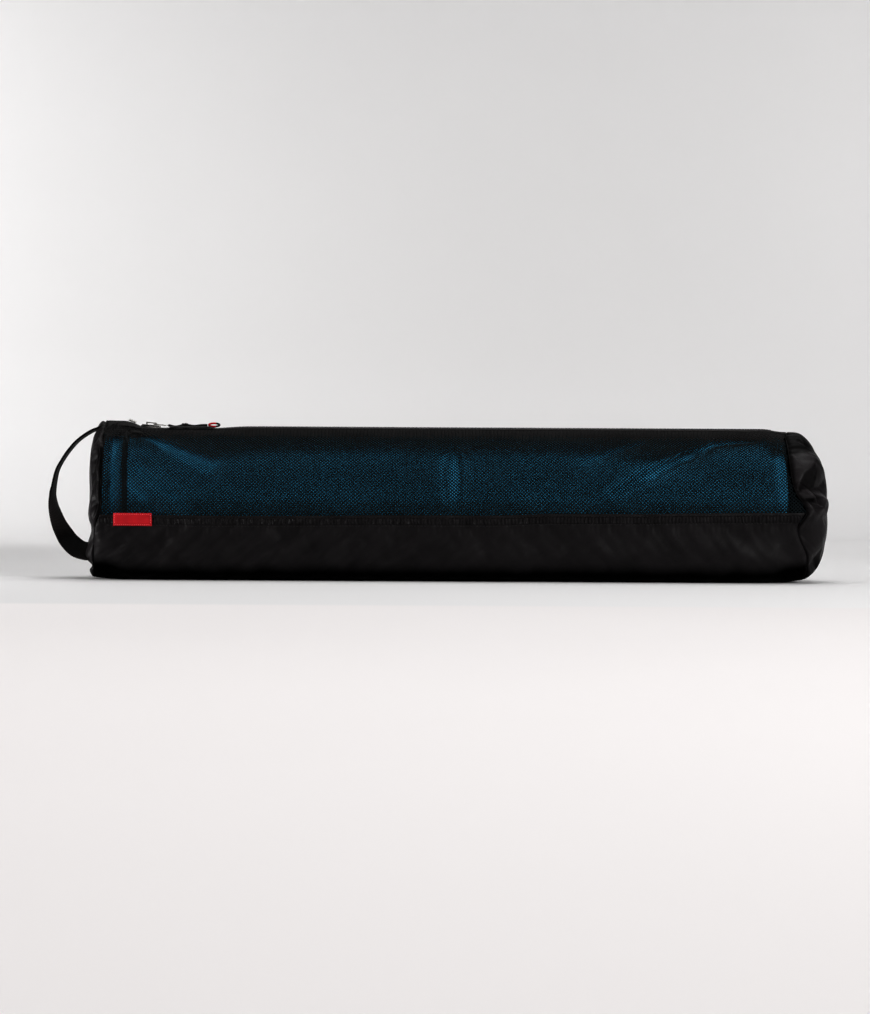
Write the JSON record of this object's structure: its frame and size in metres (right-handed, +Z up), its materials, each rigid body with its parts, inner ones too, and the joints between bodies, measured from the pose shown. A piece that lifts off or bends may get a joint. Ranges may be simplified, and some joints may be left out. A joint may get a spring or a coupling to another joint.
{
  "type": "yoga mat bag with rolled mat",
  "caption": "Long zipped bag of black net over a dark nylon trough, with nylon ends, a webbing hand loop and a bare red label, lying with the blue rolled mat that it holds.",
  "frame": {"origin": "middle of the bounding box at the surface that the bag lies on", "axes": "+X along the bag away from the hand loop, +Y to the back, +Z up; the pictured front looks to -Y"},
  "size_m": [0.7592, 0.1533, 0.1575],
  "materials": {
    "nylon": "soft sheen nylon",
    "net": "matt black net",
    "zip_tape": "matt woven tape",
    "zip_coil": "satin black coil",
    "seam_tape": "matt woven tape",
    "webbing": "matt woven webbing",
    "label": "bare red woven label",
    "foam_mat": "matt blue closed foam",
    "bright_metal": "bright plated metal",
    "cord": "matt braided cord",
    "red_cord": "red braided cord"
  },
  "bodies": {
    "root": {"bottom_panel": "nylon", "mesh_front": "net", "mesh_back": "net", "zip_tape": "zip_tape", "zip_coil": "zip_coil", "seam_tape_front": "seam_tape", "seam_tape_back": "seam_tape", "end_panel_left": "nylon", "end_panel_right": "nylon", "strap_loop": "webbing", "label": "label", "rolled_mat": "foam_mat", "zip_slider": "bright_metal", "zip_puller": "bright_metal", "zip_stop": "bright_metal", "pull_cord": "cord", "pull_loop": "red_cord"}
  },
  "joints": []
}
